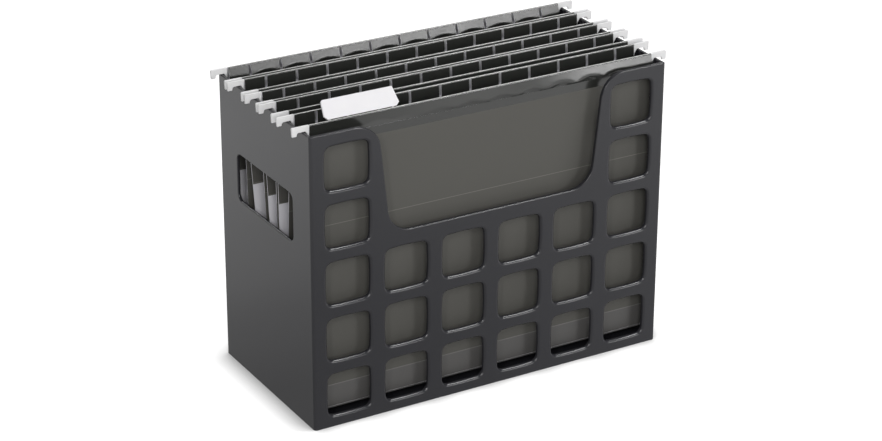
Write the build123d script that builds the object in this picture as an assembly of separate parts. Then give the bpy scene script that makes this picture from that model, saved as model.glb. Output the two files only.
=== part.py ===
from build123d import *
import math
import os

# Desktop rack for letter-size hanging folders.
# Frame: origin under the middle of the floor, +X along the front, +Y towards the rear, +Z up, in mm.

# The folders set the size of the rack
FLAP_WIDTH = 297.5
FOLDER_HEIGHT = 234.6

# Rack
DEPTH = 150.8
LATTICE_WALL = 3.0
END_WALL = 2.5
FLAP_TO_WALL = 3.55
CORNER_ROUND = 2.4
EDGE_ROUND = 0.9

# Lattice of windows in the front and rear panels
WINDOW_COLUMNS = 6
WINDOW_ROWS = 5
FULL_ROWS = 3
WINDOW_WIDTH = 37.0
WINDOW_HEIGHT = 35.2
WINDOW_BOW = 0.8
WINDOW_CORNER = 5.0
WINDOW_ROUND = 2.4
SIDE_BAR = 12.05
TOP_BAR = 10.4
SILL_OVER_LIP = 1.0

# Cut-out between the two posts of a lattice panel
CUTOUT_RIM = 13.0
POST_RIM = 7.55
POST_SLOPE = 9.7
POST_ROUND = 21.0
CUTOUT_ROUND = 20.0

# Handle hole in each end panel
HANDLE_LENGTH = 92.0
HANDLE_HEIGHT = 38.6
HANDLE_CORNER = 5.5
HANDLE_TO_TOP = 74.6

# Snap joints between the panels
TONGUE_HEIGHT = 22.0
TONGUE_THICKNESS = 1.3
TONGUE_DEPTH = 1.6
TONGUE_COUNT = 3
LUG_HEIGHT = 12.0
LUG_THICKNESS = 2.2
LUG_REACH = 7.0
LUG_COUNT = 2
BARB_DEPTH = 0.8
BARB_LENGTH = 3.0
SNAP_CLEARANCE = 0.1

# Base tray
FLOOR_THICKNESS = 2.2
LIP_THICKNESS = 2.0
LIP_HEIGHT = 7.6
LIP_RIDGE = 0.7
LIP_RIDGE_HEIGHT = 1.6
LIP_RIDGE_LEVEL = 5.0
LIP_RIDGE_LENGTH = 60.0

# Hanging folders: where each front and rear rod and score line lies, as a share of the rails' length
ROD_SHARES = ((0.0656, 0.2293), (0.2873, 0.4296), (0.4572, 0.5884), (0.6271, 0.7921), (0.8204, 0.9903))
SCORE_SHARES = ((0.0622, 0.0829), (0.3660, 0.4075), (0.4268, 0.4489), (0.5041, 0.5663), (0.7390, 0.7942))
SHEET = 0.4
HEM_HEIGHT = 11.5
HEM_BEND = 6.0
FLANGE_DEPTH = 82.5
HEM_TOP_BEVEL = 0.45

# Bottom fold, between the two score lines
GUTTER_HEIGHT = 1.5
SCORE_CLEARANCE = 0.2
FOLD_OVER_LIP = 1.3

# Rods and hooks
ROD_THICKNESS = 1.0
ROD_HEIGHT = 7.6
ROD_CLEARANCE = 0.05
ROD_TONGUE_HEIGHT = 2.2
ROD_TONGUE_DROP = 0.8
ROD_TONGUE_LENGTH = 8.0
HOOK_LENGTH = 14.15
HOOK_THICKNESS = 1.6
HOOK_CROWN = 4.5
HOOK_LEG = 4.0
HOOK_LEG_DROP = 2.3
HOOK_LEG_TAPER = 0.4
HOOK_THROAT_LENGTH = 5.6
HOOK_THROAT_CUT = 0.9
HOOK_HEEL_DROP = 3.1
HOOK_TOE_LENGTH = 0.6
HOOK_TOE_DROP = 2.1
HOOK_TOP_CUT = 0.6
RAIL_CLEARANCE = 0.4
HEM_GAP = 0.3

# Tab slots in the inner layer of each hem
SLOT_COUNT = 11
SLOT_MARGIN = 17.75
SLOT_WIDTH = 2.0
SLOT_HEIGHT = 9.4
SLOT_TO_TOP = 0.9

# Index tab and its slip
TAB_SLOT = 1
TAB_OVERHANG = 4.8
TAB_HEIGHT = 14.8
TAB_WALL = 0.5
TAB_LEAN = 26.0
TAB_CORNER_CUT = 2.6
TAB_SIDE_CUT = 3.2
TAB_GAP = 0.15
TAB_SETBACK = 0.35
PRONG_WIDTH = 1.8
PRONG_LENGTH = 10.0
PRONG_THICKNESS = 0.5
SLIP_INSET = 5.0
SLIP_HEIGHT = 13.2
SLIP_THICKNESS = 0.3
SLIP_CLEARANCE = 0.12

FRONT = -DEPTH / 2
REAR = DEPTH / 2
HALF_FLAP = FLAP_WIDTH / 2
WALL_INNER = HALF_FLAP + FLAP_TO_WALL
HALF_WIDTH = WALL_INNER + END_WALL
HOOK_START = HALF_FLAP + HEM_GAP
FOLD_BOTTOM = LIP_HEIGHT + FOLD_OVER_LIP
HEM_TOP = FOLD_BOTTOM + FOLDER_HEIGHT
THROAT_TOP = HEM_TOP - HOOK_CROWN
HEIGHT = THROAT_TOP - RAIL_CLEARANCE
POCKET_HALF = ROD_THICKNESS / 2 + ROD_CLEARANCE
HEM_HALF = POCKET_HALF + SHEET
ROD_TOP = HEM_TOP - SHEET - ROD_CLEARANCE
SILL = LIP_HEIGHT + SILL_OVER_LIP
COLUMN_PITCH = (2 * HALF_WIDTH - 2 * SIDE_BAR - WINDOW_WIDTH) / (WINDOW_COLUMNS - 1)
ROW_PITCH = (HEIGHT - SILL - TOP_BAR - WINDOW_HEIGHT) / (WINDOW_ROWS - 1)
CUTOUT_FLOOR = SILL + (FULL_ROWS - 1) * ROW_PITCH + WINDOW_HEIGHT + CUTOUT_RIM
CUTOUT_TOP_HALF = HALF_WIDTH - SIDE_BAR - WINDOW_WIDTH - POST_RIM
CUTOUT_FLOOR_HALF = CUTOUT_TOP_HALF - POST_SLOPE
SLOT_PITCH = (FLAP_WIDTH - 2 * SLOT_MARGIN) / (SLOT_COUNT - 1)
TAB_WIDTH = 2 * SLOT_PITCH + 2 * TAB_OVERHANG
SLIP_WIDTH = TAB_WIDTH - 2 * SLIP_INSET
TONGUE_LEVELS = [HEIGHT * (2 * k + 1) / (2 * TONGUE_COUNT) for k in range(TONGUE_COUNT)]
LUG_LEVELS = [HEIGHT * (k + 1) / (LUG_COUNT + 1) for k in range(LUG_COUNT)]


def save(shape, node):
    os.makedirs("parts", exist_ok=True)
    export_step(shape, os.path.join("parts", node + ".step"))


def block(x0, x1, y0, y1, z0, z1):
    """A box given by its two corners."""
    size = (abs(x1 - x0), abs(y1 - y0), abs(z1 - z0))
    return Pos((x0 + x1) / 2, (y0 + y1) / 2, (z0 + z1) / 2) * Box(*size)


def upright_plane(y):
    """A plane facing the front at depth y, with X to the right and Z up."""
    return Plane(origin=(0, y, 0), x_dir=(1, 0, 0), z_dir=(0, -1, 0))


def side_plane(x):
    """A plane facing +X at x, with Y to the right and Z up."""
    return Plane(origin=(x, 0, 0), x_dir=(0, 1, 0), z_dir=(1, 0, 0))


def prism_along_x(points, x0, x1):
    """A polygon of (y, z) points carried from x0 to x1."""
    face = side_plane(x0) * Polygon(*points, align=None)
    return extrude(face, amount=x1 - x0, dir=(1, 0, 0))


def window_outline():
    """A window: four sides that bow out a little, with rounded corners."""
    half_w = WINDOW_WIDTH / 2
    half_h = WINDOW_HEIGHT / 2
    corner_w = half_w - WINDOW_BOW
    corner_h = half_h - WINDOW_BOW
    corners = [(-corner_w, -corner_h), (corner_w, -corner_h), (corner_w, corner_h), (-corner_w, corner_h)]
    middles = [(0, -half_h), (half_w, 0), (0, half_h), (-half_w, 0)]
    sides = [ThreePointArc(corners[k], middles[k], corners[(k + 1) % 4]) for k in range(4)]
    face = make_face(sides)
    return fillet(face.vertices(), WINDOW_CORNER)


def window_places():
    """Centres of the windows: full rows under the cut-out, and only the outer columns beside it."""
    places = []
    for row in range(WINDOW_ROWS):
        z = SILL + WINDOW_HEIGHT / 2 + row * ROW_PITCH
        for column in range(WINDOW_COLUMNS):
            x = (column - (WINDOW_COLUMNS - 1) / 2) * COLUMN_PITCH
            if row < FULL_ROWS or column in (0, WINDOW_COLUMNS - 1):
                places.append((x, z))
    return places


def post_outline():
    """The panel's outline: two rounded posts with the wide cut-out between them."""
    outline = Polygon(
        (-HALF_WIDTH, 0),
        (HALF_WIDTH, 0),
        (HALF_WIDTH, HEIGHT),
        (CUTOUT_TOP_HALF, HEIGHT),
        (CUTOUT_FLOOR_HALF, CUTOUT_FLOOR),
        (-CUTOUT_FLOOR_HALF, CUTOUT_FLOOR),
        (-CUTOUT_TOP_HALF, HEIGHT),
        (-HALF_WIDTH, HEIGHT),
        align=None,
    )
    inner = [v for v in outline.vertices() if abs(v.X) < HALF_WIDTH - CORNER_ROUND]
    posts = [v for v in inner if v.Y > HEIGHT - 1]
    outline = fillet(posts, POST_ROUND)
    inner = [v for v in outline.vertices() if abs(v.X) < CUTOUT_FLOOR_HALF + 1 and abs(v.Y - CUTOUT_FLOOR) < 1]
    return fillet(inner, CUTOUT_ROUND)


def lip_groove(x0, x1, y0, y1):
    """The groove in a wall that takes a ridge of the tray's lip."""
    play = SNAP_CLEARANCE
    z0 = LIP_RIDGE_LEVEL - LIP_RIDGE_HEIGHT / 2 - play
    z1 = LIP_RIDGE_LEVEL + LIP_RIDGE_HEIGHT / 2 + play
    return block(x0, x1, y0, y1, z0, z1)


def lattice_panel():
    """The front panel in place: rounded windows, snap lugs and tongue slots on its back."""
    back = FRONT + LATTICE_WALL
    sheet = post_outline()
    for x, z in window_places():
        sheet -= Pos(x, z) * window_outline()
    panel = extrude(upright_plane(back) * sheet, amount=LATTICE_WALL, dir=(0, -1, 0))
    face = panel.faces().sort_by(Axis.Y)[0]
    rims = [edge for wire in face.inner_wires() for edge in wire.edges()]
    panel = panel.fillet(WINDOW_ROUND, rims)
    face = panel.faces().sort_by(Axis.Y)[0]
    uprights = [e for e in face.outer_wire().edges() if abs(e.center().X) > HALF_WIDTH - 0.01]
    panel = panel.fillet(CORNER_ROUND, uprights)
    face = panel.faces().sort_by(Axis.Y)[0]
    inside = HALF_WIDTH - CORNER_ROUND - EDGE_ROUND
    rim = [e for e in face.outer_wire().edges() if e.center().Z > SILL and abs(e.center().X) < inside]
    panel = panel.fillet(EDGE_ROUND, rim)
    tongue_mid = HALF_WIDTH - END_WALL / 2
    for side in (-1, 1):
        for level in TONGUE_LEVELS:
            half_t = TONGUE_THICKNESS / 2 + SNAP_CLEARANCE
            half_h = TONGUE_HEIGHT / 2 + SNAP_CLEARANCE
            slot = block(
                side * tongue_mid - half_t, side * tongue_mid + half_t,
                back - TONGUE_DEPTH - SNAP_CLEARANCE, back + 1,
                level - half_h, level + half_h,
            )
            panel -= slot
        for level in LUG_LEVELS:
            panel += snap_lug(side, level, back)
    ridge = LIP_RIDGE + SNAP_CLEARANCE
    half_ridge = LIP_RIDGE_LENGTH / 2 + SNAP_CLEARANCE
    panel -= lip_groove(-half_ridge, half_ridge, back - ridge, back + 1)
    return panel


def snap_lug(side, level, back):
    """A springy lug on the lattice panel's back, with a barb that catches in the end panel."""
    wall = WALL_INNER - SNAP_CLEARANCE
    inner = wall - LUG_THICKNESS
    tip = back + LUG_REACH
    points = [
        (side * inner, back),
        (side * wall, back),
        (side * wall, tip - BARB_LENGTH),
        (side * (wall + BARB_DEPTH), tip - BARB_LENGTH),
        (side * wall, tip),
        (side * inner, tip),
    ]
    face = Plane.XY.offset(level - LUG_HEIGHT / 2) * Polygon(*points, align=None)
    return extrude(face, amount=LUG_HEIGHT, dir=(0, 0, 1))


def end_panel():
    """The left end panel in place: handle hole, rail edge on top, tongues front and rear."""
    x0 = -HALF_WIDTH
    x1 = x0 + END_WALL
    y0 = FRONT + LATTICE_WALL
    y1 = REAR - LATTICE_WALL
    sheet = Pos(0, HEIGHT / 2) * Rectangle(y1 - y0, HEIGHT)
    sheet -= Pos(0, HEIGHT - HANDLE_TO_TOP) * RectangleRounded(HANDLE_LENGTH, HANDLE_HEIGHT, HANDLE_CORNER)
    panel = extrude(side_plane(x0) * sheet, amount=END_WALL, dir=(1, 0, 0))
    outer = panel.faces().sort_by(Axis.X)[0]
    inner = panel.faces().sort_by(Axis.X)[-1]
    rims = [e for f in (outer, inner) for w in f.inner_wires() for e in w.edges()]
    rail = [e for f in (outer, inner) for e in f.outer_wire().edges() if e.center().Z > HEIGHT - 0.01]
    panel = panel.fillet(EDGE_ROUND, rims + rail)
    middle = (x0 + x1) / 2
    half_t = TONGUE_THICKNESS / 2
    for level in TONGUE_LEVELS:
        low = level - TONGUE_HEIGHT / 2
        high = level + TONGUE_HEIGHT / 2
        panel += block(middle - half_t, middle + half_t, y0 - TONGUE_DEPTH, y0, low, high)
        panel += block(middle - half_t, middle + half_t, y1, y1 + TONGUE_DEPTH, low, high)
    play = SNAP_CLEARANCE
    for level in LUG_LEVELS:
        low = level - LUG_HEIGHT / 2 - play
        high = level + LUG_HEIGHT / 2 + play
        depth = BARB_DEPTH + play
        catch = y0 + LUG_REACH
        panel -= block(x1 - depth, x1 + 1, catch - BARB_LENGTH - play, catch + play, low, high)
        panel -= block(x1 - depth, x1 + 1, -catch - play, -catch + BARB_LENGTH + play, low, high)
    half_ridge = LIP_RIDGE_LENGTH / 2 + play
    panel -= lip_groove(x1 - LIP_RIDGE - play, x1 + 1, -half_ridge, half_ridge)
    return panel


def base_tray():
    """The floor, with a lip all round and a snap ridge on each of its four sides."""
    x1 = WALL_INNER - SNAP_CLEARANCE
    y1 = REAR - LATTICE_WALL - SNAP_CLEARANCE
    tray = block(-x1, x1, -y1, y1, 0, LIP_HEIGHT)
    tray -= block(
        -x1 + LIP_THICKNESS, x1 - LIP_THICKNESS,
        -y1 + LIP_THICKNESS, y1 - LIP_THICKNESS,
        FLOOR_THICKNESS, LIP_HEIGHT + 1,
    )
    half_ridge = LIP_RIDGE_LENGTH / 2
    low = LIP_RIDGE_LEVEL - LIP_RIDGE_HEIGHT / 2
    high = LIP_RIDGE_LEVEL + LIP_RIDGE_HEIGHT / 2
    for side in (-1, 1):
        tray += block(-half_ridge, half_ridge, side * (y1 - 1), side * (y1 + LIP_RIDGE), low, high)
        tray += block(side * (x1 - 1), side * (x1 + LIP_RIDGE), -half_ridge, half_ridge, low, high)
    return tray


def mix(a, b, share):
    return a + (b - a) * share


def rail_place(share):
    """A place along the rails, from the front panel's inner face to the rear panel's."""
    return mix(FRONT + LATTICE_WALL, REAR - LATTICE_WALL, share)


def flap(rod_y, score_y, inward):
    """One flap: a sheet from its score line up to the rod, over it, and a flange back down inside.

    The profile is drawn in u, the distance inwards from the rod, and z, then carried along X.
    """
    bottom = FOLD_BOTTOM + GUTTER_HEIGHT + SCORE_CLEARANCE
    hem = HEM_TOP - HEM_HEIGHT
    bend = hem - HEM_BEND
    flange = HEM_TOP - FLANGE_DEPTH
    half = SHEET / 2
    u_score = inward * (score_y - rod_y)
    u_hem = half - HEM_HALF
    u_bend = mix(u_score, u_hem, (bend - bottom) / (hem - bottom))
    u_flange = mix(u_score, u_hem, (flange - bottom) / (hem - bottom))
    bevel = HEM_TOP - HEM_TOP_BEVEL
    outline = [
        (u_score - half, bottom),
        (-HEM_HALF, hem),
        (-HEM_HALF, bevel),
        (-HEM_HALF + HEM_TOP_BEVEL, HEM_TOP),
        (HEM_HALF - HEM_TOP_BEVEL, HEM_TOP),
        (HEM_HALF, bevel),
        (HEM_HALF, hem),
        (u_bend + half + SHEET, bend),
        (u_flange + half + SHEET, flange),
        (u_flange + half, flange),
        (u_score + half, bottom),
    ]
    pocket_low = ROD_TOP - ROD_HEIGHT - ROD_CLEARANCE
    pocket_high = ROD_TOP + ROD_CLEARANCE
    profile = [(rod_y + inward * u, z) for u, z in outline]
    solid = prism_along_x(profile, -HALF_FLAP, HALF_FLAP)
    solid -= block(
        -HALF_FLAP - 1, HALF_FLAP + 1,
        rod_y - POCKET_HALF, rod_y + POCKET_HALF,
        pocket_low, pocket_high,
    )
    slot_top = HEM_TOP - SLOT_TO_TOP
    y0 = rod_y + inward * (POCKET_HALF - ROD_CLEARANCE)
    y1 = rod_y + inward * (HEM_HALF + 1)
    half_slot = SLOT_WIDTH / 2
    slots = [block(x - half_slot, x + half_slot, y0, y1, slot_top - SLOT_HEIGHT, slot_top) for x in slot_places()]
    return solid - slots


def slot_places():
    """Where the tab slots lie along the hem."""
    return [(k - (SLOT_COUNT - 1) / 2) * SLOT_PITCH for k in range(SLOT_COUNT)]


def bottom_fold(front_score, rear_score):
    """The scored bottom of a folder: a shallow trough that carries the two flaps."""
    half = SHEET / 2
    top = FOLD_BOTTOM + GUTTER_HEIGHT
    front = front_score - half
    rear = rear_score + half
    points = [
        (front, top),
        (front, FOLD_BOTTOM + SHEET),
        (front + SHEET, FOLD_BOTTOM),
        (rear - SHEET, FOLD_BOTTOM),
        (rear, FOLD_BOTTOM + SHEET),
        (rear, top),
        (rear - SHEET, top),
        (rear - SHEET, FOLD_BOTTOM + SHEET),
        (front + SHEET, FOLD_BOTTOM + SHEET),
        (front + SHEET, top),
    ]
    return prism_along_x(points, -HALF_FLAP, HALF_FLAP)


def rod(rod_y):
    """A flat steel rod with a narrow tongue at each end."""
    body_end = HOOK_START - ROD_CLEARANCE
    tongue_end = body_end + ROD_TONGUE_LENGTH
    tongue_top = ROD_TOP - ROD_TONGUE_DROP
    y0 = rod_y - ROD_THICKNESS / 2
    y1 = rod_y + ROD_THICKNESS / 2
    bar = block(-body_end, body_end, y0, y1, ROD_TOP - ROD_HEIGHT, ROD_TOP)
    return bar + block(-tongue_end, tongue_end, y0, y1, tongue_top - ROD_TONGUE_HEIGHT, tongue_top)


def hook(rod_y, side):
    """A plastic tip on a rod's end: a leg outside the rail, a throat over it and a heel inside."""
    tip = HOOK_START + HOOK_LENGTH
    leg = tip - HOOK_LEG
    leg_low = HEIGHT - HOOK_LEG_DROP
    throat_out = WALL_INNER + HOOK_THROAT_LENGTH
    throat_in = WALL_INNER - RAIL_CLEARANCE
    heel = HEIGHT - HOOK_HEEL_DROP
    toe = HOOK_START + HOOK_TOE_LENGTH
    points = [
        (tip - HOOK_TOP_CUT, HEM_TOP),
        (tip, HEM_TOP - HOOK_TOP_CUT),
        (tip - HOOK_LEG_TAPER, leg_low),
        (leg, leg_low),
        (leg - HOOK_LEG_TAPER, THROAT_TOP - HOOK_THROAT_CUT),
        (throat_out, THROAT_TOP),
        (throat_in, THROAT_TOP),
        (toe, heel),
        (HOOK_START, heel - HOOK_TOE_DROP),
        (HOOK_START, HEM_TOP),
    ]
    face = upright_plane(rod_y + HOOK_THICKNESS / 2) * Polygon(*[(side * x, z) for x, z in points], align=None)
    tip_solid = extrude(face, amount=HOOK_THICKNESS, dir=(0, -1, 0))
    socket_top = ROD_TOP - ROD_TONGUE_DROP + ROD_CLEARANCE
    socket_low = socket_top - ROD_TONGUE_HEIGHT - 2 * ROD_CLEARANCE
    half = ROD_THICKNESS / 2 + ROD_CLEARANCE
    return tip_solid - block(
        side * (HOOK_START - 1), side * (HOOK_START + ROD_TONGUE_LENGTH),
        rod_y - half, rod_y + half,
        socket_low, socket_top,
    )


def tab_thickness():
    return 2 * TAB_WALL + SLIP_THICKNESS + 2 * SLIP_CLEARANCE


def tab_plane(rod_y):
    """The tab's front face: X along the tab, Y up its slope, normal out of the face to the front."""
    lean = math.radians(TAB_LEAN)
    x = slot_places()[TAB_SLOT]
    base = (x, rod_y - TAB_SETBACK, HEM_TOP + TAB_GAP + tab_thickness() * math.sin(lean))
    return Plane(origin=base, x_dir=(1, 0, 0), z_dir=(0, -math.cos(lean), math.sin(lean)))


def inside_back_wall(rod_y, y):
    """The height at depth y of the middle of the sleeve's sloping back wall."""
    lean = math.radians(TAB_LEAN)
    back_low_y = rod_y - TAB_SETBACK + tab_thickness() * math.cos(lean)
    return HEM_TOP + TAB_GAP + (y - back_low_y) / math.tan(lean) + TAB_WALL / 2 / math.sin(lean)


def index_tab(rod_y):
    """A plastic sleeve, open at both ends, leaning back on the hem with two prongs down behind it."""
    thickness = tab_thickness()
    half = TAB_WIDTH / 2
    cut = TAB_CORNER_CUT
    outline = Polygon(
        (-half + cut, 0),
        (half - cut, 0),
        (half, cut),
        (half - TAB_SIDE_CUT, TAB_HEIGHT),
        (-half + cut / 2, TAB_HEIGHT),
        (-half, TAB_HEIGHT - cut / 2),
        (-half, cut),
        align=None,
    )
    plane = tab_plane(rod_y)
    away = tuple(-c for c in plane.z_dir)
    sleeve = extrude(plane * outline, amount=thickness, dir=away)
    room = SLIP_THICKNESS + 2 * SLIP_CLEARANCE
    inside = Pos(0, TAB_HEIGHT / 2) * Rectangle(TAB_WIDTH + 2 * TAB_WALL, SLIP_HEIGHT + 2 * SLIP_CLEARANCE)
    sleeve -= extrude(plane.offset(-TAB_WALL) * inside, amount=room, dir=away)
    near = rod_y + HEM_HALF + TAB_GAP
    far = near + PRONG_THICKNESS
    points = [
        (near, HEM_TOP - PRONG_LENGTH),
        (far, HEM_TOP - PRONG_LENGTH),
        (far, inside_back_wall(rod_y, far)),
        (near, inside_back_wall(rod_y, near)),
    ]
    spots = slot_places()
    for k in (TAB_SLOT - 1, TAB_SLOT + 1):
        sleeve += prism_along_x(points, spots[k] - PRONG_WIDTH / 2, spots[k] + PRONG_WIDTH / 2)
    return sleeve


def tab_slip(rod_y):
    """The card slip inside the sleeve."""
    plane = tab_plane(rod_y)
    away = tuple(-c for c in plane.z_dir)
    card = Pos(0, TAB_HEIGHT / 2) * Rectangle(SLIP_WIDTH, SLIP_HEIGHT)
    return extrude(plane.offset(-TAB_WALL - SLIP_CLEARANCE) * card, amount=SLIP_THICKNESS, dir=away)


def main():
    front = lattice_panel()
    save(front, "front_panel")
    save(Rot(0, 0, 180) * front, "rear_panel")
    left = end_panel()
    save(left, "left_end_panel")
    save(Rot(0, 0, 180) * left, "right_end_panel")
    save(base_tray(), "base_tray")
    for number, (rods, scores) in enumerate(zip(ROD_SHARES, SCORE_SHARES), 1):
        save(bottom_fold(rail_place(scores[0]), rail_place(scores[1])), f"folder_{number}_bottom_fold")
        for side, inward, share, score in zip(("front", "rear"), (1, -1), rods, scores):
            rod_y = rail_place(share)
            name = f"folder_{number}_{side}"
            save(flap(rod_y, rail_place(score), inward), name + "_flap")
            save(rod(rod_y), name + "_rod")
            save(hook(rod_y, -1), name + "_left_hook")
            save(hook(rod_y, 1), name + "_right_hook")
    tab_rod_y = rail_place(ROD_SHARES[0][0])
    save(index_tab(tab_rod_y), "index_tab")
    save(tab_slip(tab_rod_y), "tab_slip")


main()
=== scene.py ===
# %% [markdown]
# # A desk rack full of hanging folders
# The rack is a moulded box without a lid: two lattice panels, two plain end walls, and ten steel
# rods that hang from the end walls and carry five card folders. The solids come from the packed
# model, so everything made here sits on them in metres, with the origin on the desk top.

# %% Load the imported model
import math

import bpy
import numpy as np
from mathutils import Matrix, Vector


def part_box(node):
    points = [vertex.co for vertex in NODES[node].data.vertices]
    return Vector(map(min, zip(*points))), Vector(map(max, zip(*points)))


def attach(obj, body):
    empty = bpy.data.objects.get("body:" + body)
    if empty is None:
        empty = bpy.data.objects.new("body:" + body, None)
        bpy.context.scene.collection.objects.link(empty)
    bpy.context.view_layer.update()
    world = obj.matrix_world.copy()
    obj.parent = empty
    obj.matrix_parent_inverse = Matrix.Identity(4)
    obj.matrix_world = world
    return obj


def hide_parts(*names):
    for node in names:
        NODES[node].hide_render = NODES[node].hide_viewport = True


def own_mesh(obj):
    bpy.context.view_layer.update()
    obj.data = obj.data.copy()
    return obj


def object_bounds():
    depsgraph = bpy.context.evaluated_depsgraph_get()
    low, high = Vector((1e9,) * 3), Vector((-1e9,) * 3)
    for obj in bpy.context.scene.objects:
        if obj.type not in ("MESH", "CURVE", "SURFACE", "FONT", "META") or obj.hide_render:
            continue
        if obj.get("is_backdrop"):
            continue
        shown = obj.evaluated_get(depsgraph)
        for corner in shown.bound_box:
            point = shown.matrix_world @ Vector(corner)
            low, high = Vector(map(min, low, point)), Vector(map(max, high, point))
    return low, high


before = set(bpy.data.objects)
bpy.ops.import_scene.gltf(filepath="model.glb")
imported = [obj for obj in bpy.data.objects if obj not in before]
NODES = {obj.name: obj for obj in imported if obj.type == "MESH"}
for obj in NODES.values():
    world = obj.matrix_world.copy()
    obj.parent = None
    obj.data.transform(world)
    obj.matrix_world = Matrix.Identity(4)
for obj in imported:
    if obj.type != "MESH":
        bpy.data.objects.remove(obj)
CAD_BOX = [list(map(float, corner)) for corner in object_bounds()]
MM = 0.001
scene = bpy.context.scene
print("nodes", len(NODES), "box", [[round(c, 4) for c in corner] for corner in CAD_BOX])

# %% [markdown]
# ## The camera
# The photograph was taken from the left and a little above with a long lens. A camera can be aimed
# by an empty and a constraint, but a written-out matrix needs nothing else in the scene: its
# columns are the picture's right, the picture's up, and the way back from the subject.

# %% Place the camera
CAMERA_PLACE = (-0.9237, -1.5757, 0.9318)
CAMERA_TURN = 30.34
CAMERA_TILT = 24.22
CAMERA_ROLL = -0.245
CAMERA_LENS = 103.89
SENSOR_WIDTH = 36


def look_matrix(place, turn, tilt, roll):
    """Right, up and back as columns, from a turn to the right of +Y, a tilt down and a roll."""
    a, e, t = map(math.radians, (turn, tilt, roll))
    ahead = Vector((math.sin(a) * math.cos(e), math.cos(a) * math.cos(e), -math.sin(e)))
    right = Vector((math.cos(a), -math.sin(a), 0))
    down = ahead.cross(right)
    rolled_right = math.cos(t) * right + math.sin(t) * down
    rolled_down = math.cos(t) * down - math.sin(t) * right
    columns = Matrix((rolled_right, -rolled_down, -ahead)).transposed()
    return Matrix.Translation(place) @ columns.to_4x4()


camera_data = bpy.data.cameras.new("camera")
camera_data.lens = CAMERA_LENS
camera_data.sensor_width = SENSOR_WIDTH
camera = bpy.data.objects.new("camera", camera_data)
camera.matrix_world = look_matrix(CAMERA_PLACE, CAMERA_TURN, CAMERA_TILT, CAMERA_ROLL)
scene.collection.objects.link(camera)
scene.camera = camera
print("camera at", CAMERA_PLACE)

# %% [markdown]
# ## Small helpers for materials
# Every finish is a Principled shader with a few procedural nodes. Colours in a photograph are read
# as screen values, so one helper turns those into the linear numbers that the shader wants. The
# others each add one kind of node and give back its output, so that a finish reads like a recipe.

# %% Material helpers
NOISE_SPAN = (0.3, 0.7)


def linear(*screen):
    """Screen values from 0 to 255 as linear light: the power curve of the screen, undone."""
    shares = [s / 255 for s in screen]
    return tuple(s / 12.92 if s <= 0.04045 else ((s + 0.055) / 1.055) ** 2.4 for s in shares) + (1,)


def dimmed(colour, factor):
    """The colour times factor, at most 1 in each part."""
    return tuple(min(1, c * factor) for c in colour[:3]) + (1,)


def new_material(name, colour, roughness, **sockets):
    """A Principled material; sockets are set on the shader itself. Returns it with its nodes."""
    material = bpy.data.materials.new(name)
    material.use_nodes = True
    nodes, links = material.node_tree.nodes, material.node_tree.links
    shader = nodes["Principled BSDF"]
    shader.inputs["Base Color"].default_value = colour
    shader.inputs["Roughness"].default_value = roughness
    for socket, value in sockets.items():
        shader.inputs[socket.replace("_", " ")].default_value = value
    return material, nodes, links, shader


def feed(links, value, socket):
    """Link value where it is another node's socket, and otherwise set it on this one."""
    if isinstance(value, bpy.types.NodeSocket):
        links.new(value, socket)
    else:
        socket.default_value = value


def add_noise(nodes, links, scale, detail=4, rough=0.55, stretch=(1, 1, 1)):
    """Noise on the object's own coordinates, stretched by a Mapping node."""
    where = nodes.new("ShaderNodeTexCoord")
    mapping = nodes.new("ShaderNodeMapping")
    mapping.inputs["Scale"].default_value = stretch
    noise = nodes.new("ShaderNodeTexNoise")
    noise.inputs["Scale"].default_value = scale
    noise.inputs["Detail"].default_value = detail
    noise.inputs["Roughness"].default_value = rough
    links.new(where.outputs["Object"], mapping.inputs["Vector"])
    links.new(mapping.outputs["Vector"], noise.inputs["Vector"])
    return noise.outputs["Fac"]


def add_range(nodes, links, value, span, result):
    """value carried from one (low, high) span to the other, clamped."""
    node = nodes.new("ShaderNodeMapRange")
    for socket, number in zip(("From Min", "From Max", "To Min", "To Max"), (*span, *result)):
        node.inputs[socket].default_value = number
    links.new(value, node.inputs["Value"])
    return node.outputs["Result"]


def add_math(nodes, links, operation, *values):
    """A Math node; each value is a number or a socket."""
    node = nodes.new("ShaderNodeMath")
    node.operation = operation
    for value, socket in zip(values, node.inputs):
        feed(links, value, socket)
    return node.outputs[0]


def add_mix(nodes, links, share, one, other):
    """Colour one at share 0 and other at share 1; each is a colour or a socket."""
    node = nodes.new("ShaderNodeMix")
    node.data_type = "RGBA"
    links.new(share, node.inputs["Factor"])
    for name, colour in (("A", one), ("B", other)):
        feed(links, colour, next(s for s in node.inputs if s.name == name and s.type == "RGBA"))
    return next(s for s in node.outputs if s.type == "RGBA")


def add_bump(nodes, links, height, strength, distance, shader):
    """Bump of the given strength from a height, straight into the shader's normal."""
    node = nodes.new("ShaderNodeBump")
    node.inputs["Strength"].default_value = strength
    node.inputs["Distance"].default_value = distance
    links.new(height, node.inputs["Height"])
    links.new(node.outputs["Normal"], shader.inputs["Normal"])


print("helpers ready")

# %% [markdown]
# ## Moulded plastic of the rack
# The walls are black polystyrene. Most of what one sees on them is the white room mirrored in the
# satin surface, so the colour itself is nearly black and the roughness low. A tiny noise in the
# bump gives the mould's grain, and a large one varies the sheen.

# %% Rack plastic
RACK_COLOUR = linear(43, 43, 48)
RACK_COLOUR_SHADE = linear(39, 39, 43)
RACK_ROUGHNESS = (0.18, 0.23)
RACK_CLOUD_SCALE = 9
RACK_GRAIN_SCALE = 1400
RACK_GRAIN_DEPTH = 0.2 * MM

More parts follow.
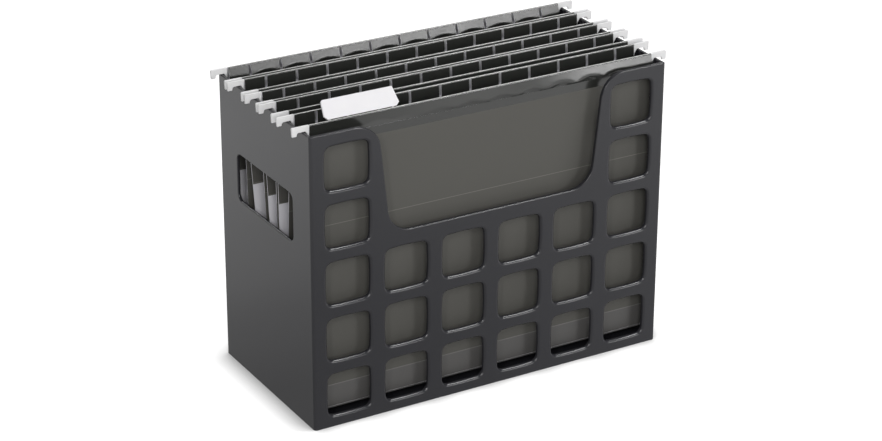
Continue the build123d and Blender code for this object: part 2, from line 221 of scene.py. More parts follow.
rack_plastic, nodes, links, shader = new_material("rack_plastic", RACK_COLOUR, 0.2, IOR=1.5)
broad = add_noise(nodes, links, RACK_CLOUD_SCALE, detail=2)
links.new(add_mix(nodes, links, broad, RACK_COLOUR_SHADE, RACK_COLOUR), shader.inputs["Base Color"])
links.new(add_range(nodes, links, broad, NOISE_SPAN, RACK_ROUGHNESS), shader.inputs["Roughness"])
grain = add_noise(nodes, links, RACK_GRAIN_SCALE, detail=2)
add_bump(nodes, links, grain, 0.03, RACK_GRAIN_DEPTH, shader)
print("rack plastic", [round(c, 3) for c in RACK_COLOUR[:3]])

# %% [markdown]
# ## Folder card
# The card is dark and matt outside and pale inside. A strip of smooth, glossy coating runs along
# the hem and along the bottom. Gloss is set on the shader itself, so the strips have a material of
# their own. The coat is paler on the crest, partly as wear and partly as a painted highlight. The
# edge of the hidden flange and a score line press through, and are painted as fine paler lines: a
# painted highlight in place of the shading of their ridges. Their places are measured from the
# crest, which the sheet's UV map keeps in metres.

# %% Folder card and its coated strips
CARD_COLOUR = linear(87, 86, 82)
CARD_COAT_COLOUR = linear(46, 47, 45)
# the crest's paler colour: partly wear, partly a painted highlight
CARD_CREST_WEAR_AND_HIGHLIGHT = linear(178, 178, 176)
CARD_BOTTOM_COLOUR = linear(92, 91, 90)
CARD_INNER_COLOUR = linear(226, 225, 231)
COAT_DEPTH = 18.0 * MM
FLANGE_DEPTH = 82.5 * MM
BOTTOM_COAT_START = 214.5 * MM
LINE_HALF = 0.3 * MM
# half width of the crest band painted as wear and highlight
CREST_WEAR_AND_HIGHLIGHT_HALF = 0.7 * MM
BOTTOM_LINE = BOTTOM_COAT_START + 2 * LINE_HALF
FIBRE_SCALE = 60
FIBRE_STRETCH = (1, 1, 0.35)
FIBRE_DARKER = 0.93
FIBRE_SHEEN = 0.03
# how much paler the pressed lines are painted: a painted highlight
LINE_PAINTED_HIGHLIGHT = 1.7
TOOTH_SCALE = 900
TOOTH_DEPTH = 0.2 * MM


def from_crest(nodes, links):
    """The distance from the hem's crest along the card: the UV map's v without its sign."""
    where = nodes.new("ShaderNodeTexCoord")
    split = nodes.new("ShaderNodeSeparateXYZ")
    links.new(where.outputs["UV"], split.inputs["Vector"])
    return add_math(nodes, links, "ABSOLUTE", split.outputs["Y"])


def card_material(name, plain, roughness, ior, crest_wear_and_highlight=None, line=None):
    """Card with fine fibres; crest_wear_and_highlight is the crest's colour, wear and a painted
    highlight, and line is the place of a line painted paler as a highlight.
    """
    material, nodes, links, shader = new_material(name, plain, roughness, IOR=ior)
    away = from_crest(nodes, links)
    fibre = add_noise(nodes, links, FIBRE_SCALE, detail=6, rough=0.7, stretch=FIBRE_STRETCH)
    body = add_mix(nodes, links, fibre, dimmed(plain, FIBRE_DARKER), plain)
    if crest_wear_and_highlight:
        # the crest painted paler: wear and a painted highlight
        crest = add_range(nodes, links, away, (CREST_WEAR_AND_HIGHLIGHT_HALF / 2, CREST_WEAR_AND_HIGHLIGHT_HALF), (1, 0))
        body = add_mix(nodes, links, crest, body, crest_wear_and_highlight)
    if line:
        # painted highlight: the pressed line painted paler instead of shaded by its ridge
        on_line = add_math(nodes, links, "COMPARE", away, line, LINE_HALF)
        body = add_mix(nodes, links, on_line, body, dimmed(plain, LINE_PAINTED_HIGHLIGHT))
    links.new(body, shader.inputs["Base Color"])
    sheen = (roughness - FIBRE_SHEEN, roughness + FIBRE_SHEEN)
    links.new(add_range(nodes, links, fibre, NOISE_SPAN, sheen), shader.inputs["Roughness"])
    tooth = add_noise(nodes, links, TOOTH_SCALE, detail=5, rough=0.7)
    add_bump(nodes, links, tooth, 0.1, TOOTH_DEPTH, shader)
    return material


# card_outside and card_bottom carry a painted highlight line at the flange edge and at the score line
card_outside = card_material("card_outside", CARD_COLOUR, 0.62, 1.48, line=FLANGE_DEPTH)
# the coated strip's crest takes the colour of wear and painted highlight
card_coated = card_material("card_coated", CARD_COAT_COLOUR, 0.2, 1.68, crest_wear_and_highlight=CARD_CREST_WEAR_AND_HIGHLIGHT)
card_bottom = card_material("card_bottom", CARD_BOTTOM_COLOUR, 0.35, 1.5, line=BOTTOM_LINE)
card_inside = card_material("card_inside", CARD_INNER_COLOUR, 0.6, 1.48)
print("card", card_outside.name, card_coated.name, card_bottom.name, card_inside.name)

# %% [markdown]
# ## Steel, and two white plastics
# The rods are bright rolled steel with fine lines along their length. The tips on their ends are
# glossy moulded plastic, and the index tab is a thinner and softer sheet of a like white.

# %% Steel and white plastics
STEEL_COLOUR = linear(222, 222, 224)
STEEL_ROUGHNESS = (0.4, 0.52)
ROLLED_SCALE = 500
ROLLED_STRETCH = (0.02, 1, 1)
HOOK_WHITE = linear(243, 243, 243)
HOOK_WHITE_SHADE = linear(238, 238, 240)
TAB_WHITE = linear(238, 237, 239)
TAB_WHITE_SHADE = linear(232, 231, 235)
SLIP_COLOUR = linear(238, 236, 238)
FINE_DEPTH = 0.1 * MM
TAB_WAVE_DEPTH = 0.3 * MM

rod_steel, nodes, links, shader = new_material("rod_steel", STEEL_COLOUR, 0.45, Metallic=1.0)
lines = add_noise(nodes, links, ROLLED_SCALE, detail=3, stretch=ROLLED_STRETCH)
links.new(add_range(nodes, links, lines, NOISE_SPAN, STEEL_ROUGHNESS), shader.inputs["Roughness"])
add_bump(nodes, links, lines, 0.1, FINE_DEPTH, shader)

hook_plastic, nodes, links, shader = new_material("hook_plastic", HOOK_WHITE, 0.3, IOR=1.5)
soft = add_noise(nodes, links, 120, detail=2)
links.new(add_mix(nodes, links, soft, HOOK_WHITE, HOOK_WHITE_SHADE), shader.inputs["Base Color"])

tab_plastic, nodes, links, shader = new_material("tab_plastic", TAB_WHITE, 0.45, IOR=1.45)
soft = add_noise(nodes, links, 80, detail=2)
links.new(add_mix(nodes, links, soft, TAB_WHITE, TAB_WHITE_SHADE), shader.inputs["Base Color"])
add_bump(nodes, links, soft, 0.05, TAB_WAVE_DEPTH, shader)

slip_card, nodes, links, shader = new_material("slip_card", SLIP_COLOUR, 0.6)
add_bump(nodes, links, add_noise(nodes, links, TOOTH_SCALE), 0.1, FINE_DEPTH, shader)
print("steel and plastics ready")

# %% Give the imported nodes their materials
FINISH_BY_ENDING = {
    "_panel": rack_plastic,
    "_tray": rack_plastic,
    "_rod": rod_steel,
    "_hook": hook_plastic,
    "_tab": tab_plastic,
    "_slip": slip_card,
    "_flap": card_outside,
    "_fold": card_outside,
}
for name, node in NODES.items():
    finish = FINISH_BY_ENDING[name[name.rindex("_"):]]
    if not node.material_slots:
        node.data.materials.append(finish)
    for slot in node.material_slots:
        slot.material = finish
print("materials on", len(NODES), "nodes")

# %% [markdown]
# ## Grids
# A sheet of points, row by row, is the simplest surface to make with numpy: four neighbours form
# a face. Leaving some of the faces out cuts a hole, and a Solidify modifier turns the sheet into
# card.

# %% Mesh and sheet helpers
CARD = 0.36 * MM
CUT_EDGE = 0.05 * MM
CUT_EDGE_ANGLE = 50


def add_mesh(name, points, faces, finishes, flat=0):
    """A mesh object in the scene with its finishes; all faces but the first few are smooth."""
    mesh = bpy.data.meshes.new(name)
    mesh.from_pydata(points, [], faces)
    mesh.polygons.foreach_set("use_smooth", np.arange(len(faces)) >= flat)
    for finish in finishes:
        mesh.materials.append(finish)
    piece = bpy.data.objects.new(name, mesh)
    scene.collection.objects.link(piece)
    return piece


def grid_piece(name, points, across, along, keep, finishes, turned, row_finish=None):
    """Rows of points as a mesh; the UV map holds the two lengths across and along in metres.
    row_finish gives the finish of each row of faces, and without it they take the first."""
    rows, columns = points.shape[:2]
    index = np.arange(rows * columns).reshape(rows, columns)
    corners = [index[:-1, :-1], index[:-1, 1:], index[1:, 1:], index[1:, :-1]]
    if turned:
        corners = corners[::-1]
    faces = np.stack(corners, axis=-1)[keep]
    used, compact = np.unique(faces, return_inverse=True)
    compact = compact.reshape(faces.shape)
    piece = add_mesh(name, points.reshape(-1, 3)[used].tolist(), compact.tolist(), finishes)
    flat = np.stack(np.broadcast_arrays(across[None, :], along[:, None]), axis=-1).reshape(-1, 2)
    uv = flat[faces.reshape(-1)].reshape(-1).astype(np.float32)
    piece.data.uv_layers.new(name="card").data.foreach_set("uv", uv)
    if row_finish is not None:
        which = np.broadcast_to(row_finish[:, None], keep.shape)[keep]
        piece.data.polygons.foreach_set("material_index", which.astype(np.int32))
    return piece


def thicken(piece):
    """Solidify the sheet to both sides, its inner side in the next material, and break its cut
    edges by a narrow bevel."""
    solid = piece.modifiers.new("card", "SOLIDIFY")
    solid.thickness = CARD
    solid.offset = 0
    solid.use_even_offset = True
    solid.material_offset = 1
    solid.material_offset_rim = 1
    edge = piece.modifiers.new("cut edge", "BEVEL")
    edge.width = CUT_EDGE
    edge.segments = 1
    edge.limit_method = "ANGLE"
    edge.angle_limit = math.radians(CUT_EDGE_ANGLE)
    edge.harden_normals = True


def dress(piece, body, slot_name, *nodes):
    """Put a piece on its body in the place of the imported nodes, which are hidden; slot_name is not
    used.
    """
    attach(piece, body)
    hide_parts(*nodes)
    return piece


def path_lengths(path):
    """How far each point lies along the path from its start."""
    steps = np.hypot(*np.diff(path, axis=0).T)
    return np.concatenate([[0], np.cumsum(steps)])


print("sheet helpers ready")

# %% [markdown]
# ## The walls and the tab
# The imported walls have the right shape, but their points are doubled along every face, so a
# highlight breaks on the rounded rims. Here each wall is welded and its normals are worked out
# again. A corner that touches a face square to an axis takes that face's normal, which keeps flat
# faces flat right up to their rounds, and the corners within a round take the mean of their faces.

# %% Weld the walls and the tab
SHARP_ANGLE = 38
SQUARE_COSINE = 0.9999
SQUARE_LEAD = 1e6
TAB_EDGE = 0.12 * MM
TINY = 1e-15


def unit(vectors):
    """Each vector at a length of 1, and a vector without length as it is."""
    return vectors / np.maximum(np.linalg.norm(vectors, axis=-1, keepdims=True), TINY)


def corner_normals(points, faces):
    """A normal for each corner of each triangle: the mean of the faces that meet at its point
    within SHARP_ANGLE of its own, by area times the angle there, with square faces far ahead."""
    corners = points[faces]
    ahead = np.roll(corners, -1, axis=1) - corners
    behind = np.roll(corners, 1, axis=1) - corners
    crossed = np.cross(ahead[:, 0], behind[:, 0])
    face = unit(crossed)
    lead = np.where(np.abs(face).max(axis=1) > SQUARE_COSINE, SQUARE_LEAD, 1)
    angle = np.arccos(np.clip((unit(ahead) * unit(behind)).sum(axis=2), -1, 1))
    weight = angle * (lead * np.linalg.norm(crossed, axis=1))[:, None]
    order = np.argsort(faces.reshape(-1), kind="stable")
    point, own = faces.reshape(-1)[order], face[order // 3]
    pull = own * weight.reshape(-1)[order][:, None]
    total = pull.copy()
    limit = math.cos(math.radians(SHARP_ANGLE))
    for step in range(1, np.bincount(point).max()):
        near = (point[step:] == point[:-step]) & ((own[step:] * own[:-step]).sum(axis=1) > limit)
        total[step:] += pull[:-step] * near[:, None]
        total[:-step] += pull[step:] * near[:, None]
    normals = np.empty_like(total)
    normals[order] = unit(total)
    return normals


def welded(name, finish, edge=0):
    """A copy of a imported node: equal points become one, edges over SHARP_ANGLE stay sharp, and a
    bevel as wide as edge breaks them where it is given."""
    source = NODES[name].data
    points = np.empty(len(source.vertices) * 3)
    source.vertices.foreach_get("co", points)
    corners = np.empty(len(source.loops), np.int32)
    source.loops.foreach_get("vertex_index", corners)
    points, back = np.unique(points.reshape(-1, 3).round(7), axis=0, return_inverse=True)
    faces = back.reshape(-1)[corners].reshape(-1, 3)
    faces = faces[(faces != np.roll(faces, 1, axis=1)).all(axis=1)]
    piece = add_mesh(name + "_welded", points.tolist(), faces.tolist(), [finish])
    piece.data.set_sharp_from_angle(angle=math.radians(SHARP_ANGLE))
    if not edge:
        piece.data.normals_split_custom_set(corner_normals(points, faces).tolist())
        return piece
    bevel = piece.modifiers.new("edge", "BEVEL")
    bevel.width = edge
    bevel.segments = 2
    bevel.limit_method = "ANGLE"
    bevel.angle_limit = math.radians(SHARP_ANGLE)
    even = piece.modifiers.new("even", "WEIGHTED_NORMAL")
    even.keep_sharp = True
    even.weight = 100
    return piece


for name in ("front_panel", "rear_panel", "left_end_panel", "right_end_panel"):
    wall = dress(welded(name, rack_plastic), "rack", "rack_plastic", name)
    print(name, len(wall.data.vertices), "points")
dress(welded("index_tab", tab_plastic, TAB_EDGE), "index_tab", "tab_plastic", "index_tab")

# %% [markdown]
# ## The flaps
# Seen from the side, a flap's card rises from the score line to the hem, turns over the rod in a
# half circle, comes down inside the hem and lies flat against itself. That path is carried along
# X. Eleven narrow slots stay open in the hem's inner layer, and each flap bows a little of its own.
# On the first and the last flap one side of the hem stands off the rod. Swung right over, it would
# meet its neighbour and be pressed flat, so that side is a piece of its own.

# %% The path of a flap's card
PLY = 0.4 * MM
HEM_RADIUS = 0.75 * MM
HEM_DEPTH = 11.5 * MM
HEM_BEND = 6.0 * MM
HEM_TURN_STEPS = 10
SLOT_TOP = 0.9 * MM
SLOT_LENGTH = 9.4 * MM
SLOT_HALF = 1.0 * MM
SLOT_PITCH = 26.2 * MM
SLOT_COUNT = 11
SLOT_STEPS = 8


def between(start, end, count):
    """count points on a straight line, the end left out."""
    share = np.arange(count)[:, None] / count
    return np.array(start) * (1 - share) + np.array(end) * share


def flap_path(score, low, crest):
    """Points (u, z), u inwards from the rod: a line from (score, low) to the hem, a half circle of
    radius HEM_RADIUS over the rod, a line down inside, and the flange one ply inside the first
    line. The steps are close where the card bows, and a row starts at each coated strip."""
    hem = crest - HEM_DEPTH
    centre = crest - CARD / 2 - HEM_RADIUS
    slot_high, slot_low = crest - SLOT_TOP, crest - SLOT_TOP - SLOT_LENGTH
    turn = np.linspace(math.pi, 0, HEM_TURN_STEPS + 1)[:-1]
    arc = np.stack([HEM_RADIUS * np.cos(turn), centre + HEM_RADIUS * np.sin(turn)], axis=1)

    def outer(z):
        return score + (-HEM_RADIUS - score) * (z - low) / (hem - low), z

    def inner(z):
        return outer(z)[0] + PLY, z

    low_coat, high_coat = crest - BOTTOM_COAT_START, crest - COAT_DEPTH
    bend, flange = hem - HEM_BEND, crest - FLANGE_DEPTH
    return np.concatenate([
        between((score, low), outer(low_coat), 4),
        between(outer(low_coat), outer(high_coat), 28),
        between(outer(high_coat), (-HEM_RADIUS, hem), 3),
        between((-HEM_RADIUS, hem), (-HEM_RADIUS, centre), 10),
        arc,
        between((HEM_RADIUS, slot_high), (HEM_RADIUS, slot_low), 9),
        [(HEM_RADIUS, slot_low)],
        between((HEM_RADIUS, hem), inner(bend), 2),
        between(inner(bend), inner(flange), 9),
        [inner(flange)],
    ])


def slot_columns(half_width):
    """Places along X, even steps from slot to slot, both edges of each slot and the two ends, and
    the slots' middles."""
    slots = (np.arange(SLOT_COUNT) - (SLOT_COUNT - 1) / 2) * SLOT_PITCH
    steps = slots[:-1, None] + np.arange(1, SLOT_STEPS) / SLOT_STEPS * SLOT_PITCH
    ends = [slots[0] - SLOT_PITCH / 4, slots[-1] + SLOT_PITCH / 4, -half_width, half_width]
    places = np.concatenate([slots - SLOT_HALF, slots + SLOT_HALF, steps.ravel(), ends])
    return np.unique(places.round(7)), slots


print("a flap has", len(slot_columns(0)[0]), "columns of points")

# %% How the card bows and the hem leans
BOW = 0.3 * MM
BOW_WAVES = ((21, 1.7, 0.6), (47, 2.9, 0.4))
HALF_HEM = 148.75 * MM
HEM_LEAN = 0.05
HEM_LEAN_FRONT = 0.28
HEM_LEAN_REAR = 0.4
HEM_EVEN_PART = 0.8
HEM_WIDEST = (0.14, 0.44)


def bow(x, share, seed):
    """Two slow waves along X, nothing at the score line and at the hem: sin^2 of the height's
    share. A wave has its turn per metre, its turn per flap and its part of BOW."""
    wave = sum(np.sin(x * turn + seed * shift) * part for turn, shift, part in BOW_WAVES)
    return BOW * np.sin(math.pi * np.clip(share, 0, 1)) ** 2 * wave


def bulge(x, share, left, right):
    """How far the hem stands off its rod. From the crest down it leans out by left at one end and
    by right at the other, straight to its widest height, and then half a cosine brings it back to
    the hem's foot. The first tenth along stays at left, and the last at right. The widest height
    is low at each slot and higher between two slots."""
    along = np.clip((x / HALF_HEM + HEM_EVEN_PART) / (2 * HEM_EVEN_PART), 0, 1)
    along = along * along * (3 - 2 * along)
    share = np.clip(share, 0, 1)
    lowest, highest = HEM_WIDEST
    widest = lowest + (highest - lowest) * np.sin(math.pi * x / SLOT_PITCH) ** 2
    above = 1 - share
    below = (1 - widest) * (0.5 - 0.5 * np.cos(math.pi * share / widest))
    return (left + (right - left) * along) * HEM_DEPTH * np.where(share > widest, above, below)


print("the hem's widest place is", HEM_WIDEST, "of its height")

# %% Ten flaps with hems and slots
SLACK = 1e-6
COAT_FINISH, BOTTOM_FINISH = 2, 4
CARD_FINISHES = (card_outside, card_inside, card_coated, card_inside, card_bottom, card_inside)


def open_slots(path, top, crest, columns, slots):
    """Which faces stay: all but those on a slot and within its height on the hem's inner layer."""
    start, end = path[:-1], path[1:]
    slot_high, slot_low = crest - SLOT_TOP, crest - SLOT_TOP - SLOT_LENGTH
    in_slot = (np.arange(len(start)) > top) & (start[:, 0] > 0)
    in_slot &= (start[:, 1] <= slot_high + SLACK) & (end[:, 1] >= slot_low - SLACK)
    middles = (columns[:-1] + columns[1:]) / 2
    on_slot = (np.abs(middles[:, None] - slots) < SLOT_HALF).any(axis=1)
    return ~(in_slot[:, None] & on_slot[None, :])


def flap(number, side, inward):
    """A flap's card: its path carried along X, moved by the bow and the hem's bulge. inward is 1
    where the folder's inside lies behind the flap, and -1 where it lies in front of it."""
    base = f"folder_{number}_{side}"
    low_corner, high_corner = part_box(base + "_flap")
    rod_low, rod_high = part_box(base + "_rod")
    fold_low, fold_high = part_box(f"folder_{number}_bottom_fold")
    rod_y = (rod_low.y + rod_high.y) / 2
    score_y = fold_low.y + PLY / 2 if side == "front" else fold_high.y - PLY / 2
    crest = high_corner.z
    hem = crest - HEM_DEPTH
    path = flap_path(inward * (score_y - rod_y), low_corner.z, crest)
    top = np.argmax(path[:, 1])
    columns, slots = slot_columns(high_corner.x)
    x, u = np.meshgrid(columns, path[:, 0])
    z = np.broadcast_to(path[:, 1][:, None], x.shape)

    start, end = path[:-1], path[1:]
    upright = np.isclose(start[:, 0], end[:, 0], atol=1e-9)
    in_hem = upright & (start[:, 1] >= hem) & (end[:, 1] >= hem)
    lean_out, lean_in = (0, 0), (HEM_LEAN, HEM_LEAN)
    standing, wall = np.zeros(len(start), bool), 0
    if base == "folder_1_front":
        lean_out = (-HEM_LEAN, HEM_LEAN_FRONT)
        standing, wall = in_hem & (start[:, 0] < 0), -HEM_RADIUS
    if base == "folder_5_rear":
        lean_in = (HEM_LEAN_REAR, HEM_LEAN_REAR)
        standing, wall = in_hem & (start[:, 0] > 0), HEM_RADIUS

    share = (z - low_corner.z) / (hem - low_corner.z)
    hem_share = (z - hem) / (crest - CARD / 2 - hem)
    outside = np.arange(len(path))[:, None] <= top
    stand_off = np.where(outside, -bulge(x, hem_share, *lean_out), bulge(x, hem_share, *lean_in))
    u = u + bow(x, share, number + 5 * (inward < 0)) + stand_off
    points = np.stack([x, rod_y + inward * u, z], axis=-1)
    along = path_lengths(path)
    along = along - along[top]
    away = np.abs(along[:-1] + along[1:]) / 2
    row_finish = np.where(away > BOTTOM_COAT_START, BOTTOM_FINISH, 0)
    row_finish = np.where(away < COAT_DEPTH, COAT_FINISH, row_finish)
    keep = open_slots(path, top, crest, columns, slots)

    def sheet(name, rows):
        wanted = keep & rows[:, None]
        piece = grid_piece(
            name, points, columns, along, wanted, CARD_FINISHES, inward < 0, row_finish
        )
        thicken(piece)
        return dress(piece, base, "folder_card", base + "_flap")

    sheet(base + "_card", ~standing)
    if standing.any():
        side_piece = sheet(base + "_hem_side", standing)
        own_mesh(side_piece)
        print(side_piece.name, "stands off", base)


for number in range(1, 6):
    flap(number, "front", 1)
    flap(number, "rear", -1)
print("flaps", sum(name.endswith("_flap") for name in NODES))

# %% [markdown]
# ## The bottom folds
# Between its two score lines a folder's bottom is a shallow trough with soft corners, of the same
# card, and coated like the strip above it.

# %% Five troughs of card
FOLD_CORNER = 0.7 * MM
FOLD_CORNER_STEPS = 5
FOLD_COLUMNS = 41
FOLD_FROM_CREST = BOTTOM_COAT_START * 1.05


def trough_path(front, rear, low, top):
    """Down from (front, top), a quarter circle, across, a quarter circle, and up to (rear, top)."""
    turn = np.linspace(0, math.pi / 2, FOLD_CORNER_STEPS + 1)[1:-1]
    round_off = FOLD_CORNER * np.stack([1 - np.cos(turn), 1 - np.sin(turn)], axis=1)
    first = np.array([front, low]) + round_off
    second = np.array([rear, low]) + round_off[::-1] * (-1, 1)
    rim = low + FOLD_CORNER
    return np.concatenate([
        [(front, top), (front, rim)], first, [(front + FOLD_CORNER, low)],
        [(rear - FOLD_CORNER, low)], second, [(rear, rim), (rear, top)],
    ])


def bottom_fold(number):
    """A folder's trough: its path, half the card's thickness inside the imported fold, along X."""
    node = f"folder_{number}_bottom_fold"
    low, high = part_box(node)
    inset = CARD / 2
    path = trough_path(low.y + inset, high.y - inset, low.z + inset, high.z)
    columns = np.linspace(low.x, high.x, FOLD_COLUMNS)
    x, y = np.meshgrid(columns, path[:, 0])
    z = np.broadcast_to(path[:, 1][:, None], x.shape)
    points = np.stack([x, y, z], axis=-1)
    along = path_lengths(path) + FOLD_FROM_CREST
    keep = np.ones((len(path) - 1, len(columns) - 1), bool)
    finishes = (card_bottom, card_inside)
    piece = grid_piece(f"folder_{number}_trough", points, columns, along, keep, finishes, True)
    thicken(piece)
    return dress(piece, f"folder_{number}", "folder_card", node)


for number in range(1, 6):
    bottom_fold(number)
print("troughs ready")

# %% [markdown]
# ## The white tips on the rods
# Each tip is a small moulded plate: a leg outside the rail, a notch over it, and a heel inside that
# keeps the folder centred. Its outline is drawn once, its corners are rounded, and rings of the
# outline drawn a little smaller round off both faces.

# %% Outlines and plates
CORNER_STEPS = 5
CORNER_PART = 0.4
ROUND_STEPS = 4


def round_corners(points, radius):
    """Each corner as a short quadratic curve from one side to the next."""
    before, after = np.roll(points, 1, axis=0), np.roll(points, -1, axis=0)
    to_before, to_after = before - points, after - points
    length_before = np.hypot(*to_before.T)[:, None]
    length_after = np.hypot(*to_after.T)[:, None]
    reach = np.minimum(radius, CORNER_PART * np.minimum(length_before, length_after))
    start = points + to_before / length_before * reach
    end = points + to_after / length_after * reach
    t = np.linspace(0, 1, CORNER_STEPS)[None, :, None]
    curve = (1 - t) ** 2 * start[:, None] + 2 * t * (1 - t) * points[:, None] + t**2 * end[:, None]
    return curve.reshape(-1, 2)


def smaller(points, inset):
    """The outline moved inwards by inset along the middle of each corner, points anticlockwise."""
    ahead = np.roll(points, -1, axis=0) - points
    behind = points - np.roll(points, 1, axis=0)
    ahead /= np.hypot(*ahead.T)[:, None]
    behind /= np.hypot(*behind.T)[:, None]
    inward_a = np.stack([-ahead[:, 1], ahead[:, 0]], axis=1)
    inward_b = np.stack([-behind[:, 1], behind[:, 0]], axis=1)
    middle = inward_a + inward_b
    return points + inset * middle * (2 / (middle**2).sum(axis=1))[:, None]


def plate(name, outline, thickness, rounding, lift, finish):
    """A plate from an anticlockwise outline. lift turns (a, b, depth) arrays into points; depth is
    0 in the middle. The rim is a quarter circle of inset and depth at either face."""
    turn = np.linspace(0, math.pi / 2, ROUND_STEPS)
    insets = rounding * (1 - np.cos(turn))
    depths = thickness / 2 - rounding * (1 - np.sin(turn))
    rings = [(inset, -depth) for inset, depth in zip(insets[::-1], depths[::-1])]
    rings += list(zip(insets, depths))
    points = []
    for inset, depth in rings:
        ring = smaller(outline, inset)
        points.append(lift(ring[:, 0], ring[:, 1], np.full(len(ring), depth)))
    count = len(outline)
    here = np.arange(count)
    after = np.roll(here, -1)
    faces = [here[::-1].tolist(), ((len(rings) - 1) * count + here).tolist()]
    for k in range(len(rings) - 1):
        low, high = k * count, (k + 1) * count
        faces += np.stack([low + here, low + after, high + after, high + here], axis=1).tolist()
    return add_mesh(name, np.concatenate(points).tolist(), faces, [finish], flat=2)


print("plate helper ready")

# %% Twenty tips
TIP_CROWN = 4.5 * MM
TIP_LEG = 4.0 * MM
TIP_LEG_LENGTH = 2.7 * MM
TIP_TAPER = 0.4 * MM
TIP_NOTCH = 5.6 * MM
TIP_NOTCH_CUT = 0.9 * MM
TIP_PLAY = 0.4 * MM
TIP_TOE = (0.6 * MM, 2.1 * MM)
TIP_CUT = 0.6 * MM
TIP_CORNER = 0.45 * MM
TIP_ROUND = 0.3 * MM


def tip_outline(root, point, wall, foot, crest):
    """The tip at the rack's right end, anticlockwise from the foot of its heel."""
    throat = crest - TIP_CROWN
    leg_low = throat - TIP_LEG_LENGTH
    return np.array([
        (root, foot),
        (root + TIP_TOE[0], foot + TIP_TOE[1]),
        (wall - TIP_PLAY, throat),
        (wall + TIP_NOTCH, throat),
        (point - TIP_LEG - TIP_TAPER, throat - TIP_NOTCH_CUT),
        (point - TIP_LEG, leg_low),
        (point - TIP_TAPER, leg_low),
        (point, crest - TIP_CUT),
        (point - TIP_CUT, crest),
        (root, crest),
    ])


def tip(number, side, end):
    """One tip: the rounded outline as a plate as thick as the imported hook, mirrored at the left."""
    node = f"folder_{number}_{side}_{end}_hook"
    low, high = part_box(node)
    away = -1 if end == "left" else 1
    root, point = sorted((abs(low.x), abs(high.x)))
    y = (low.y + high.y) / 2
    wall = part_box("right_end_panel")[0].x
    outline = round_corners(tip_outline(root, point, wall, low.z, high.z), TIP_CORNER)

    def lift(a, b, depth):
        return np.stack([away * a, y - away * depth, b], axis=1)

    name = f"folder_{number}_{side}_{end}_tip"
    piece = plate(name, outline, high.y - low.y, TIP_ROUND, lift, hook_plastic)
    return dress(piece, f"folder_{number}_{side}", "hook_plastic", node)


for number in range(1, 6):
    for side in ("front", "rear"):
        for end in ("left", "right"):
            tip(number, side, end)
print("tips ready")

# %% [markdown]
# ## Light and desk
# The picture is a studio one, white all round. A tall soft lamp beside the camera is the key, and
# a narrow one farther left shines on the end wall. A small lamp at the right is what the hems
# mirror, one above draws the windows' rims, and one behind lifts the rear edges.
#
# White that only the camera sees keeps the ground bright without putting more light on the rack.
# The floor's glow fades where the rack is near, which an Ambient Occlusion node finds: a painted
# contact shadow. In the rack's mirrorings the floor is grey close by and pale farther out, a painted
# shade close to the rack.

# %% World and floor
WHITE = (1, 1, 1, 1)
WORLD_LEVEL = 0.22
WORLD_MIRRORED = 0.15
FLOOR_HALF = 6
FLOOR_WHITE = 0.55
FLOOR_GLOW = 0.86
# the floor's glow inside the painted contact shadow
FLOOR_GLOW_IN_PAINTED_SHADOW = 0.08
FLOOR_BOUNCE = 0.35
FLOOR_ROUGHNESS = 0.9
# in mirrorings the floor glows less near the rack: a painted shade by distance
FLOOR_MIRRORED = (0.22, 0.74)
FLOOR_MIRRORED_REACH = (0.15, 0.7)
FLOOR_MIRRORED_CENTRE = (-0.15, -0.15, 0)
# painted contact shadow: within this reach of the rack the floor's glow is lowered
PAINTED_SHADOW_REACH = 0.024
PAINTED_SHADOW_SPAN = (0.45, 0.95)


def grey(level):
    """A colour of three equal linear parts."""
    return (level, level, level, 1)


def white_world():
    """A world that is white to the camera, dim in mirrorings and dimmer still as a light."""
    world = bpy.data.worlds.new("studio")
    world.use_nodes = True
    nodes, links = world.node_tree.nodes, world.node_tree.links
    ray = nodes.new("ShaderNodeLightPath").outputs
    seen = add_math(nodes, links, "MAXIMUM", ray["Is Camera Ray"], ray["Is Transmission Ray"])
    mirrored = add_math(nodes, links, "MULTIPLY", ray["Is Glossy Ray"], WORLD_MIRRORED)
    share = add_math(nodes, links, "MAXIMUM", seen, mirrored)
    background = nodes["Background"]
    background.inputs["Color"].default_value = WHITE
    strength = add_range(nodes, links, share, (0, 1), (WORLD_LEVEL, 1))
    links.new(strength, background.inputs["Strength"])
    scene.world = world


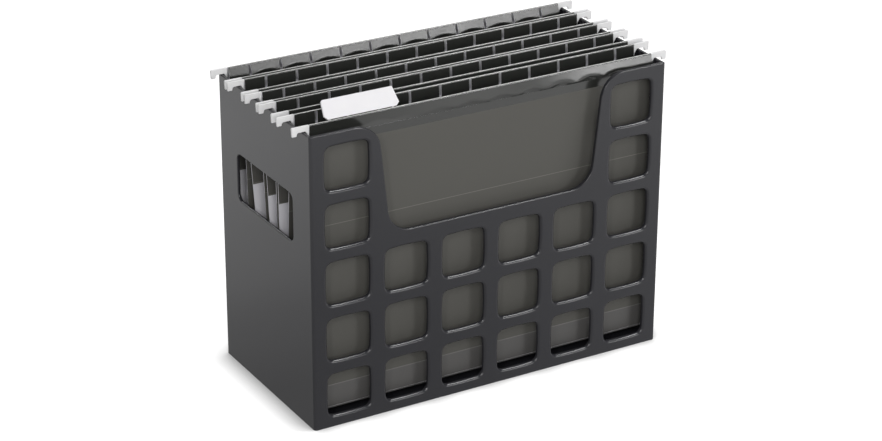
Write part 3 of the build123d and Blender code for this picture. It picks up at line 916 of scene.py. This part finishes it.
def floor_finish():
    """White that glows for the camera except close to the rack, where the dimmer glow is a painted
    contact shadow; in mirrorings it glows by its distance from the rack's near corner, a painted
    shade close by."""
    material, nodes, links, shader = new_material("floor_white_with_painted_shadow", WHITE, FLOOR_ROUGHNESS)
    ray = nodes.new("ShaderNodeLightPath").outputs
    seen, mirrored = ray["Is Camera Ray"], ray["Is Glossy Ray"]
    # an Ambient Occlusion node paints the contact shadow into the floor's glow
    near = nodes.new("ShaderNodeAmbientOcclusion")
    near.inputs["Distance"].default_value = PAINTED_SHADOW_REACH
    glow_span = (FLOOR_GLOW_IN_PAINTED_SHADOW, FLOOR_GLOW)
    glow_with_painted_shadow = add_range(nodes, links, near.outputs["AO"], PAINTED_SHADOW_SPAN, glow_span)
    glow = add_math(nodes, links, "MULTIPLY", glow_with_painted_shadow, seen)
    place = nodes.new("ShaderNodeTexCoord")
    away = nodes.new("ShaderNodeVectorMath")
    away.operation = "DISTANCE"
    away.inputs[1].default_value = FLOOR_MIRRORED_CENTRE
    links.new(place.outputs["Object"], away.inputs[0])
    distance = away.outputs["Value"]
    # painted shade in mirrorings: the floor's glow grows with its distance from the rack
    mirrored_glow_with_painted_shade = add_range(nodes, links, distance, FLOOR_MIRRORED_REACH, FLOOR_MIRRORED)
    total = add_math(nodes, links, "MULTIPLY_ADD", mirrored, mirrored_glow_with_painted_shade, glow)
    shader.inputs["Emission Color"].default_value = WHITE
    links.new(total, shader.inputs["Emission Strength"])
    base = add_mix(nodes, links, seen, grey(FLOOR_BOUNCE), grey(FLOOR_WHITE))
    links.new(base, shader.inputs["Base Color"])
    return material


white_world()
square = np.array([(-1, -1, 0), (1, -1, 0), (1, 1, 0), (-1, 1, 0)]) * FLOOR_HALF
floor = add_mesh("floor", square.tolist(), [(0, 1, 2, 3)], [floor_finish()], flat=1)
floor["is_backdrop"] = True
print("white all round")


# %% Lamps
def lamp(name, place, target, size, radiance, colour=(1, 1, 1)):
    """A soft lamp of size (wide, high) at place that faces target. Its power is pi times its area
    times its radiance."""
    data = bpy.data.lights.new(name, "AREA")
    data.shape = "RECTANGLE"
    data.size, data.size_y = size
    data.energy = math.pi * size[0] * size[1] * radiance
    data.color = colour
    thing = bpy.data.objects.new(name, data)
    thing.location = place
    thing.rotation_euler = (Vector(target) - Vector(place)).to_track_quat("-Z", "Y").to_euler()
    scene.collection.objects.link(thing)


lamp("key", (-0.85, -2.1, 1.25), (0, 0, 0.12), (0.8, 1.7), 4.3, (1.0, 0.99, 0.97))
lamp("left_strip", (-1.45, -1.45, 1.25), (0, 0, 0.12), (0.16, 0.7), 24)
lamp("hem_light", (1.2, -2.1, 0.75), (0, 0, 0.24), (0.65, 0.7), 8)
lamp("sky", (1.05, -0.55, 2.0), (0, 0, 0.1), (0.4, 0.7), 21)
lamp("rim", (-0.45, 1.9, 1.5), (0, 0, 0.2), (0.5, 0.4), 8)
scene.view_settings.view_transform = "Standard"
print("lit")

# %% Print the sizes and finish
seen_box = [list(map(float, corner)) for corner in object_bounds()]
print("visual box", [[round(c, 4) for c in corner] for corner in seen_box])
